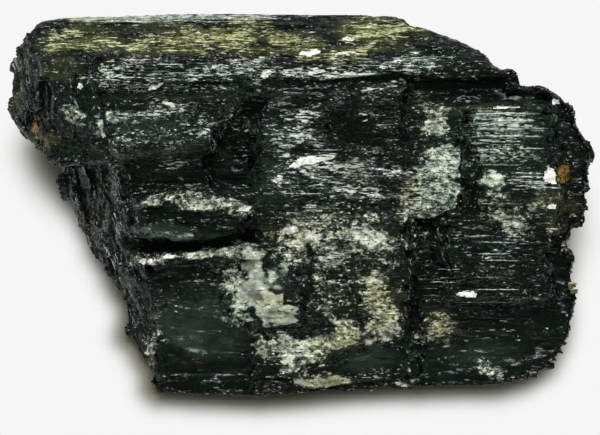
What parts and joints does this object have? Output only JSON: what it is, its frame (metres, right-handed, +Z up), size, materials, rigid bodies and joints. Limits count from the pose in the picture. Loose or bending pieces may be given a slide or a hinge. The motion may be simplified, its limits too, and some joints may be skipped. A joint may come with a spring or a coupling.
{
  "type": "tourmaline crystal",
  "caption": "Broken chunk of a striated black tourmaline prism with stepped fracture ledges, a knob past one end and a flat fracture face to lie on.",
  "frame": {"origin": "middle of the bottom of the bounding box, on the face it rests on", "axes": "+X along the crystal's length (its c axis), +Z up from the face it rests on, -Y towards the edge where the broad face comes down"},
  "size_m": [0.081, 0.0524, 0.0247],
  "materials": {
    "schorl": "vitreous black, finely striated along its length, with patches of pale greenish white and yellow green crust"
  },
  "bodies": {
    "root": {"tourmaline_crystal": "schorl"}
  },
  "joints": []
}
